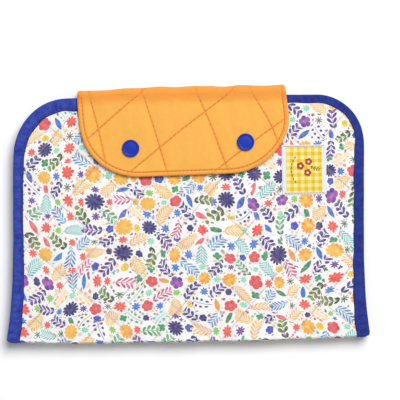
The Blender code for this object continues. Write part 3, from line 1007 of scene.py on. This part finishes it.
def nose_sizes():
    """The three folds: hinge y and z, which way the nose points, its look, and its two panels."""
    return [
        (FOLD_Y, FOLD_Z[0], -1, "print", (1, 2)),
        (INNER_Y, FOLD_Z[1], +1, "orange", (2, 3)),
        (FOLD_Y, FOLD_Z[2], -1, "print", (3, 4)),
    ]


def blended(obj, lower, upper, y, z):
    """Fixes a fold's cloth in place, its placement baked into its points."""
    reach = NOSE_RADIUS * 0.55
    z - reach
    z + reach
    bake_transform(obj)


def fold_nose(number, y, z, way, look, bodies):
    """Cloth that turns over a fold, as half a flattened round of the panels' outer height."""
    angles = np.linspace(0, math.pi, 28)[:, None]
    across = np.linspace(0, 1, 300 if number == 3 else 160)[None]
    out = y + way * NOSE_DEPTH * np.sin(angles)
    left, right = (side_at(out, None, side, UNDER_TAPE) for side in (-1, 1))
    x = left + (right - left) * across
    edge = UNDER_TAPE + np.minimum(x - left, right - x)
    height = panel_height(x, np.full_like(x, y), edge)
    bulge = 0.10 * MM * np.sin(angles) * waves(x, angles * 3 * MM, 7 * MM, 20 + number)
    tall = NOSE_RADIUS - HALF + height + bulge
    deep = NOSE_DEPTH + (height - 1.4 * MM) * 0.6 + bulge
    points = np.stack([x, y + way * deep * np.sin(angles), z + tall * np.cos(angles)], -1)
    begin = strip_place(bodies[1] - 1, y)
    flat_y = begin + NOSE_LENGTH * angles / math.pi + 0 * x
    obj = surface(f"fold_{number}_cloth", settled(points), look, np.stack([x, flat_y], -1))
    blended(obj, *bodies, y, z)


# ---------------------------------------------------------------- binding


# The folded tape's section, round the edge from lip to lip: how far in it reaches, as a share of
# its width, and its height, as a share of the panel's half thickness
UPPER_TAPE = [
    (0.90, 0.62), (1.0, 0.72), (0.985, 0.86), (0.90, 0.93), (0.80, 0.90), (0.68, 0.96),
    (0.45, 1.0), (0.25, 0.985), (0.11, 0.90), (0.03, 0.66), (0.0, 0.30),
]
LOWER_TAPE = [(share, -height) for share, height in reversed(UPPER_TAPE)]
TAPE_SHARE, TAPE_HEIGHT = np.array(UPPER_TAPE + LOWER_TAPE).T
SEAM_COLUMN = 4


def tape_points(path, middle, seed):
    """Grid of tape points along an outline: shape (path, section, 3), and its flat places."""
    along = np.gradient(path, axis=0)
    along = along / np.linalg.norm(along, axis=1, keepdims=True)
    inward = np.stack([-along[:, 1], along[:, 0]], 1)
    run = np.concatenate([[0], np.cumsum(np.linalg.norm(np.diff(path, axis=0), axis=1))])
    width = tape_width(path[:, 0], path[:, 1]) + 0.32 * MM * waves(run, 0 * run, 7 * MM, seed)
    share, height = TAPE_SHARE[None], TAPE_HEIGHT[None]
    inset = share * width[:, None] + 0.12 * MM * waves(run, 0 * run, 16 * MM, seed + 1)[:, None]
    pucker = waves(run[:, None], inset * 0.5, 3.0 * MM, seed + 2)
    pucker = (0.11 * pucker + 0.09 * waves(run[:, None], inset, 7 * MM, seed + 4)) * np.abs(height)
    tall = HALF * (height * (1 + pucker))
    points = np.zeros((len(path), len(TAPE_SHARE), 3))
    points[..., :2] = path[:, None] + inward[:, None] * inset[..., None]
    points[..., 2] = middle + tall
    side = np.sign(path[:, :1])
    points[..., 0] -= side * fold_corner(path[:, 1:], side) * (1 - share)
    girth = np.linspace(0, 1, len(TAPE_SHARE))[None] * (2 * BINDING + 2 * HALF)
    flat = np.stack([np.repeat(run[:, None], len(TAPE_SHARE), 1), girth + 0 * run[:, None]], -1)
    return settled(points), flat


def lip_shade(points):
    """Painted shade at the tape's lip and along its stitching; the tape is also darker down the
    right side.
    """
    shade = np.maximum(step(TAPE_SHARE, 0.88, 1.0), 0.3 * bell(TAPE_SHARE - 0.79, 0.06))
    right = 0.5 * step(points[..., 0], -100 * MM, 100 * MM)
    return np.maximum(shade[None], right)


def bind_panel(k):
    """The tape of panel k and its edge stitching, top and bottom lips."""
    top = PANEL_TOPS[k]
    names = ["binding"] if top is not None else ["binding_right", "binding_left"]
    for name, path in zip(names, outline(top, 1.6 * MM, rounded=False)):
        if name.endswith("left"):
            path = path[::-1]
        points, flat = tape_points(path, MIDDLE[k], 40 + 3 * k)
        label = f"panel_{k + 1}_{name}"
        tape = surface(label + "_tape", points, "binding", flat, seam=lip_shade(points))
        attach(tape, f"panel_{k + 1}")
        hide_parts(label)
        sewn = []
        for column in (SEAM_COLUMN, len(TAPE_SHARE) - 1 - SEAM_COLUMN):
            sewn += stitches(points[:, column], TOP_STITCH, 0.32 * MM)
        seam = joined(label + "_stitches", sewn, "thread_blue")
        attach(seam, f"panel_{k + 1}")


def nose_tape(number, y, z, way, bodies):
    """The tape round both ends of a fold."""
    angles = np.linspace(0, math.pi, 24)[:, None]
    share, height = TAPE_SHARE[None], TAPE_HEIGHT[None]
    width = tape_width(np.array(HALF_WIDTH), np.array(y))
    run = angles * NOSE_RADIUS
    out = y + way * NOSE_DEPTH * np.sin(angles)
    for side, word in ((1, "right"), (-1, "left")):
        pucker = 0.05 * waves(run, share * 3 * MM, 2.2 * MM, 60 + number) * np.sin(angles)
        turned_in = fold_corner(out, side) * (1 - share)
        x = side_at(out, None, side, rounded=False) - side * (share * width + turned_in)
        tall = HALF * height * (1 + pucker)
        radius = np.maximum(NOSE_RADIUS - HALF + tall, 0.05 * MM)
        depth = np.maximum(NOSE_DEPTH - HALF + tall, 0.05 * MM)
        points = np.stack([x, y + way * depth * np.sin(angles), z + radius * np.cos(angles)], -1)
        flat = np.stack([run + 0 * share, 0 * run + share * width], -1)
        points = settled(points)
        name = f"fold_{number}_tape_{word}"
        tape = surface(name, points, "binding", flat, seam=lip_shade(points))
        blended(tape, *bodies, y, z)


def quilt_stitches(k, up):
    """Stitches along both families of quilting lines on one face of panel k."""
    top = PANEL_TOPS[k]
    end = INNER_Y if top is None else top
    low, high = (-HALF_WIDTH, FOLD_Y), (HALF_WIDTH, end)
    edges = outline(top)
    sewn = []
    for family in PAD_QUILTING:
        for line in quilting_lines(family, low, high):
            x, y = line[:, 0], line[:, 1]
            left, right = side_at(y, top, -1), side_at(y, top, 1)
            within = (x > left) & (x < right) & (y > FOLD_Y) & (y < end)
            if within.sum() < 8:
                continue
            x, y = x[within], y[within]
            edge = edge_distance(x, y, edges)
            kept = edge > BINDING
            if kept.sum() < 8:
                continue
            x, y, edge = x[kept], y[kept], edge[kept]
            height = panel_height(x, y, edge) + 0.05 * MM
            z = MIDDLE[k] + (height if up else -height)
            sewn += stitches(settled(np.stack([x, y, z], 1)), QUILT_STITCH, 0.24 * MM)
    return sewn


def build_panels():
    """The four panels with their tapes and stitches, and the three folds between them."""
    for k in range(4):
        body = f"panel_{k + 1}"
        outer_up = k % 2 == 1
        outer = panel_face(k, outer_up, "print", f"{body}_quilted_print")
        lining = panel_face(k, not outer_up, "orange", f"{body}_quilted_lining")
        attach(outer, body)
        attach(lining, body)
        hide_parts(f"{body}_outer", f"{body}_wadding")
        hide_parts(f"{body}_lining")
        bind_panel(k)
        for up in (True, False):
            look = "thread_pad" if up == outer_up else "thread_orange"
            word = "upper" if up else "lower"
            sewn = joined(f"{body}_{word}_quilting", quilt_stitches(k, up), look)
            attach(sewn, body)
    for number, (y, z, way, look, bodies) in enumerate(nose_sizes(), 1):
        fold_nose(number, y, z, way, look, bodies)
        nose_tape(number, y, z, way, bodies)


# ---------------------------------------------------------------- flap

FLAP_HALF = (FLAP_HIGH[0] - FLAP_LOW[0]) / 2
FLAP_CORNER = {+1: (40 * MM, 36 * MM), -1: (44 * MM, 39 * MM)}
FLAP_TIP = FLAP_LOW[1]
FLAP_ROLL = 1.35 * MM
FLAP_SKIN = 0.12 * MM
TIP_CROWDING = 1.6

# A box that holds all of the flap, for its quilting lines
FLAP_SPAN = ((-100 * MM, 0), (100 * MM, 100 * MM))


def flap_half_at(y, side):
    """Half the flap's width at height y, to its +1 or -1 side, with its rounded lower corner."""
    across, along = FLAP_CORNER[side]
    drop = np.clip((FLAP_TIP + along - y) / along, 0, 1)
    return FLAP_HALF - across * (1 - np.sqrt(np.clip(1 - drop**2, 0, 1)))


def flap_warp(x, y):
    """Where a point of the even flap really lies: it bulges at its right and is a little askew."""
    share = (x - FLAP_X) / FLAP_HALF
    bulge = 1.0 * MM + 2.4 * MM * bell(y - 67 * MM, 17 * MM)
    taper = 1.9 * MM * step(-y, -88 * MM, -56 * MM)
    askew = 0.022 * (x - FLAP_X) * step(HINGE_Y - y, 0, 30 * MM)
    return x + np.where(share > 0, share * bulge, -share * taper), y + askew


def warped(points):
    """Points of the even flap moved to where they really lie."""
    x, y = flap_warp(points[..., 0], points[..., 1])
    return np.stack([x, y, points[..., 2]], -1)


def flap_outline():
    """The flap's edge from the hinge down its right side, round the tip and up the left."""
    turn = np.linspace(0, math.pi / 2, 70)
    sides = []
    for side in (1, -1):
        y = FLAP_TIP + FLAP_CORNER[side][1] * (1 - np.cos(turn))
        y = np.concatenate([y, np.linspace(y[-1], HINGE_Y, 50)[1:]])
        sides.append(np.stack([FLAP_X + side * flap_half_at(y, side), y], 1))
    return evenly(np.concatenate([sides[0][::-1], sides[1]]), 0.8 * MM)


def flap_height(x, y, edge):
    """Half thickness of the flap: a rolled turned edge, a stitched hem and quilting inside it."""
    roll = np.sqrt(np.clip(1 - (1 - np.clip(edge / FLAP_ROLL, 0, 1)) ** 2, 0, 1))
    hem = 0.45 * MM * bell(edge - HEM, 0.7 * MM)
    swell = step(edge, HEM, HEM + 6 * MM)
    puff = pillow(x, y, FLAP_QUILTING)
    body = 1.25 * MM + swell * (0.70 * MM * puff - 0.22 * MM)
    return roll * (body - hem)


def flap_painted_shade(x, y, edge):
    """Painted shade on the flap: along the quilting and the hem's stitching, and over the bend;
    darker round the rolled edge too.
    """
    lines = 0.5 * groove_shade(x, y, FLAP_QUILTING)
    hem = 0.55 * bell(edge - HEM, 0.6 * MM)
    bend = 0.44 * step(y, HINGE_Y - 9 * MM, HINGE_Y - 1 * MM) + 0.24 * (1 - step(edge, 2 * MM, HEM))
    return np.maximum(np.maximum(lines, hem), bend)


def flap_wrinkles(x, y, edge):
    """Soft creases that run down from the bend and gather at the snaps."""
    inner = step(edge, 1 * MM, 9 * MM)
    long = waves(x, y * 0.25, 6.5 * MM, 71)
    near_left = bell(x - SNAPS[0][0] - 5 * MM, 10 * MM)
    near_right = bell(x - SNAPS[1][0] + 9 * MM, 12 * MM)
    return inner * (0.18 + 0.34 * near_left + 0.30 * near_right) * MM * long


def to_bend(height, y, edge, reach):
    """Brings a skin of the flap to the height, `reach`, at which the bend's own skin begins."""
    flat = step(HINGE_Y - y, 0, 6 * MM)
    return height * flat + reach * np.sqrt(np.clip(edge / FLAP_ROLL, 0, 1)) * (1 - flat)


def flap_face(upper):
    """The flap's outer cloth, or its lining, from the tip to the bend."""
    rows, columns = (150, 260) if upper else (90, 150)
    y = FLAP_TIP + (HINGE_Y - FLAP_TIP) * np.linspace(0, 1, rows) ** TIP_CROWDING
    across = crowded(columns)
    right, left = (flap_half_at(y, side)[:, None] * across[None] for side in (1, -1))
    x = FLAP_X + np.where(across > 0, right, left)
    y = np.repeat(y[:, None], columns, 1)
    edge = edge_distance(x, y, [flap_outline()])
    if upper:
        z = flap_top(x, y, edge)
    else:
        height = np.minimum(flap_height(x, y, edge), 1.55 * MM)
        sunk = snap_dimple(*flap_warp(x, y), 5.6, 9)
        height = height * (1 - sunk) + 1.1 * MM * sunk
        z = FLAP_MIDDLE - to_bend(height, y, edge, FLAP_MIDDLE - TURN_Z - FLAP_SKIN)
    name = "flap_quilted_front" if upper else "flap_quilted_lining"
    points = np.stack([x, y, z], -1)
    seam = flap_painted_shade(x, y, edge)
    return surface(name, warped(points), "orange", points[..., :2], seam=seam)


def flap_band(name, centre_line, bodies):
    """A stretch of the flap between two bends, as a closed flattened tube.

    `centre_line` gives (y, z) of the inner and outer skin for each step along the stretch.
    """
    inner, outer = centre_line
    across = crowded(150)
    roll = np.sqrt(np.clip((1 - np.abs(across)) * FLAP_HALF / FLAP_ROLL, 0, 1))
    even_x = FLAP_X + FLAP_HALF * across
    x = flap_warp(even_x, np.full_like(even_x, HINGE_Y))[0]
    ripple = waves(x, 0 * x, 8 * MM, 90) * 0.12
    proud = 2.0 * MM * step(x, FLAP_LOW[0] + 4 * MM, FLAP_LOW[0] + 60 * MM) * (1 + ripple)
    middle = (inner + outer) / 2
    rows = []
    for mid, out, inn in zip(middle, outer, inner):
        grow = (roll * (1 + ripple * roll))[:, None]
        front = mid + (out - mid) * grow
        front[:, 0] += proud * roll * np.clip((out[0] - HINGE_Y) / NOSE_RADIUS, 0, 1)
        back = mid + (inn - mid) * roll[:, None]
        ring_x = np.concatenate([x, x[::-1]])
        ring = np.concatenate([front, back[::-1]])
        rows.append(np.column_stack([ring_x, ring]))
    points = np.array(rows)
    gaps = np.linalg.norm(np.diff(outer, axis=0), axis=1)
    run = HINGE_Y + np.concatenate([[0], np.cumsum(gaps)])[:, None] + 0 * points[..., 0]
    ring = np.concatenate([even_x, even_x[::-1]])[None] + 0 * run
    # Painted shade: the bends and the bridge are darker all over, and more so along the quilting
    # and the hem
    hem = bell(FLAP_HALF - np.abs(ring - FLAP_X) - HEM, 0.5 * MM)
    seam = np.maximum(0.44, 0.85 * np.maximum(groove_shade(ring, run, FLAP_QUILTING), hem))
    flat = np.stack([ring, run], -1)
    obj = surface(name, points, "orange", flat, closed=True, seam=seam)
    if len(bodies) == 1:
        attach(obj, bodies[0])
    else:
        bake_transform(obj)
    return obj


def build_flap():
    upper, lower = flap_face(True), flap_face(False)
    for face in (upper, lower):
        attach(face, "flap")
    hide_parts("flap_outer", "flap_wadding")
    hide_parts("flap_lining")
    turn = np.linspace(0, math.pi / 2, 14)

    def quarter(z, first):
        """Inner and outer skins round one bend, from the hinge's side to the bridge's side."""
        ray = np.stack([np.sin(turn), np.cos(turn) * (1 if first else -1)], 1)
        hinge = np.array([HINGE_Y, z])
        return hinge + ray * FLAP_SKIN, hinge + ray * NOSE_RADIUS

    reach = NOSE_RADIUS * 0.6
    flap_band(
        "flap_upper_bend", quarter(TURN_Z, True), ("flap_bridge", "flap"),
    )
    flap_band(
        "flap_lower_bend", quarter(LIFT_Z, False), ("panel_1", "flap_bridge"),
    )
    heights = np.linspace(LIFT_Z, TURN_Z, 12)
    inner = np.stack([np.full_like(heights, HINGE_Y + FLAP_SKIN), heights], 1)
    outer = np.stack([np.full_like(heights, HINGE_Y + NOSE_RADIUS), heights], 1)
    bridge = flap_band("flap_bridge_cloth", (inner, outer), ("flap_bridge",))
    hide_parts("flap_bridge_outer", "flap_bridge_wadding", "flap_bridge_lining")
    build_flap_stitches()


def flap_top(x, y, edge=None):
    """Height of the flap's upper cloth, with its wrinkles and the hollows round the snaps."""
    if edge is None:
        edge = edge_distance(x, y, [flap_outline()])
    height = flap_height(x, y, edge) + flap_wrinkles(x, y, edge) * step(HINGE_Y - y, 0, 8 * MM)
    sunk = snap_dimple(*flap_warp(x, y), 6.6, 13)
    height = height * (1 - sunk) + 1.5 * MM * sunk
    return FLAP_MIDDLE + to_bend(height, y, edge, TURN_Z + NOSE_RADIUS - FLAP_MIDDLE)


def build_flap_stitches():
    """The hem's topstitching and the quilting lines, just proud of the cloth."""
    path = flap_outline()
    along = np.gradient(path, axis=0)
    along = along / np.linalg.norm(along, axis=1, keepdims=True)
    hem = path + np.stack([along[:, 1], -along[:, 0]], 1) * HEM
    hem = hem[hem[:, 1] < HINGE_Y]
    line = np.column_stack([hem, flap_top(hem[:, 0], hem[:, 1]) + 0.08 * MM])
    sewn = stitches(warped(line), TOP_STITCH, 0.42 * MM)
    for family in FLAP_QUILTING:
        for run in quilting_lines(family, *FLAP_SPAN):
            x, y = run[:, 0], run[:, 1]
            within = (x - FLAP_X < flap_half_at(y, 1)) & (FLAP_X - x < flap_half_at(y, -1))
            within = within & (y > FLAP_TIP) & (y < HINGE_Y)
            if within.sum() < 8:
                continue
            x, y = x[within], y[within]
            edge = edge_distance(x, y, [flap_outline()])
            clear = (edge > HEM) & (snap_dimple(*flap_warp(x, y), 6.6, 7.0) < 0.5)
            if clear.sum() < 8:
                continue
            x, y = x[clear], y[clear]
            gaps = np.flatnonzero(np.hypot(np.diff(x), np.diff(y)) > 2 * MM) + 1
            for xs, ys in zip(np.split(x, gaps), np.split(y, gaps)):
                if len(xs) > 8:
                    points = np.column_stack([xs, ys, flap_top(xs, ys) + 0.06 * MM])
                    sewn += stitches(warped(points), QUILT_STITCH, 0.38 * MM)
    seam = joined("flap_stitches", sewn, "thread_orange")
    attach(seam, "flap")


# ---------------------------------------------------------------- label and snaps


def label_grid(width, length):
    """Points of the label on the quilted front, bridging the grooves, edges pressed down."""
    columns, rows = LABEL_GRID
    middle = np.add(LABEL_LOW, LABEL_HIGH) / 2
    u, v = np.meshgrid(np.linspace(-width / 2, width / 2, columns),
                       np.linspace(-length / 2, length / 2, rows))
    x, y = middle[0] + u, middle[1] + v
    puff = 0.4 + 0.6 * pillow(x, y, PAD_QUILTING)
    rim = np.minimum(width / 2 - np.abs(u), length / 2 - np.abs(v))
    ripple = 0.09 * MM * waves(x, y, 7 * MM, 33)
    lift = 0.26 * MM + 0.14 * MM * step(rim, 0, 0.8 * MM) + ripple * step(rim, 0, 3 * MM)
    z = MIDDLE[3] + 0.8 * MM + 0.85 * MM * puff + lift
    return u, v, np.stack([x, y, z], -1)


def build_label():
    """The label, sewn down at both ends, with a row of running stitches in place of its words."""
    width, length = (high - low for low, high in zip(LABEL_LOW[:2], LABEL_HIGH[:2]))
    u, v, points = label_grid(width, length)
    label = surface("woven_label", points, "label", np.stack([u, v], -1))
    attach(label, "panel_4")
    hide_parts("label")
    sewn = []
    for row in (2, -3):
        sewn += stitches(points[row, 3:-3] + [0, 0, 0.05 * MM], LABEL_STITCH, 0.40 * MM)
    turn = np.radians(np.linspace(*ARC_ENDS, 40))
    arc = np.stack([ARC_MIDDLE + ARC_RADIUS * np.cos(turn), ARC_RADIUS * np.sin(turn)], 1)
    middle = np.add(LABEL_LOW, LABEL_HIGH)[:2] / 2
    share = (arc / (width, length) + 0.5) * np.subtract(LABEL_GRID, 1)
    column, row = np.round(share).astype(int).T
    heights = points[row, column, 2] + 0.06 * MM
    line = np.column_stack([arc + middle, heights])
    run = stitches(line, RUNNING_STITCH, 0.75 * MM)
    runs = joined("label_running_stitch", run, "thread_green")
    seams = joined("label_seams", sewn, "thread_red")
    for piece in (runs, seams):
        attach(piece, "panel_4")


# A cap's turned profile from its middle to its rim's foot: (radius, height) in mm
CAP_PROFILE = (
    (0.02, 1.30), (1.6, 1.29), (3.0, 1.23), (4.1, 1.12), (4.55, 1.10), (4.85, 1.24), (5.15, 1.50),
    (5.45, 1.66), (5.75, 1.64), (5.98, 1.45), (6.14, 1.10), (6.2, 0.70), (6.18, 0.30), (6.05, 0.0),
)


def build_snap_caps():
    """Moulded caps with a raised round rim and a shallow dished middle."""
    turn = np.linspace(0, 2 * math.pi, 72, endpoint=False)
    radius, height = np.array(CAP_PROFILE).T[..., None] * MM
    for side in ("left", "right"):
        low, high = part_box(f"snap_cap_{side}")
        scale = (high[0] - low[0]) / 2 / radius.max()
        x = (low[0] + high[0]) / 2 + scale * radius * np.cos(turn)
        y = (low[1] + high[1]) / 2 + scale * radius * np.sin(turn)
        points = np.stack([x, y, high[2] - height.max() + height + 0 * turn], -1)
        cap = surface(f"snap_face_{side}", points, "snap", closed=True)
        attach(cap, "flap")
        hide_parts(f"snap_cap_{side}")


# ---------------------------------------------------------------- camera, light, floor


def add_key_light():
    """A square light that faces the origin."""
    light = bpy.data.lights.new("key", "AREA")
    light.energy = KEY_POWER
    light.size = KEY_SIZE
    obj = bpy.data.objects.new("key", light)
    obj.location = KEY_PLACE
    x, y, z = (-value for value in KEY_PLACE)
    obj.rotation_euler = (math.atan2(math.hypot(x, y), -z), 0, math.atan2(y, x) - math.pi / 2)
    obj.visible_camera = False
    bpy.context.scene.collection.objects.link(obj)


def build_stage():
    """The camera, the lights and a white floor."""
    scene = bpy.context.scene
    camera = bpy.data.cameras.new("camera")
    camera.sensor_width = SENSOR_WIDTH
    camera.lens = camera.sensor_width * CAMERA_DISTANCE / CAMERA_FIELD
    holder = bpy.data.objects.new("camera", camera)
    holder.location = (*CAMERA_AIM, MIDDLE[3] + CAMERA_DISTANCE)
    holder.rotation_euler = (0, 0, CAMERA_TURN)
    scene.collection.objects.link(holder)
    scene.camera = holder
    scene.view_settings.view_transform = "Standard"
    world = bpy.data.worlds.new("world")
    world.use_nodes = True
    surround = world.node_tree.nodes["Background"]
    surround.inputs["Color"].default_value = (1, 1, 1, 1)
    surround.inputs["Strength"].default_value = SURROUND
    scene.world = world
    floor = bpy.data.meshes.new("floor")
    floor.from_pydata([(-3, -3, 0), (3, -3, 0), (3, 3, 0), (-3, 3, 0)], [], [(0, 1, 2, 3)])
    g = Graph("floor", roughness=0.9)
    floor.materials.append(g.finish((0.97, 0.97, 0.97, 1)))
    obj = bpy.data.objects.new("floor", floor)
    obj.location.z = -FLOOR_DROP
    scene.collection.objects.link(obj)
    add_key_light()


def finish_snaps():
    """Gives the snaps' CAD pieces, which stay in view, the caps' plastic."""
    for side in ("left", "right"):
        for part in ("socket", "stud", "back_cap"):
            node = frame["nodes"][f"snap_{part}_{side}"]
            node.data.materials.clear()
            node.data.materials.append(LOOKS["snap"][0])


build_stage()
build_panels()
build_flap()
build_label()
build_snap_caps()
finish_snaps()

bpy.context.view_layer.update()
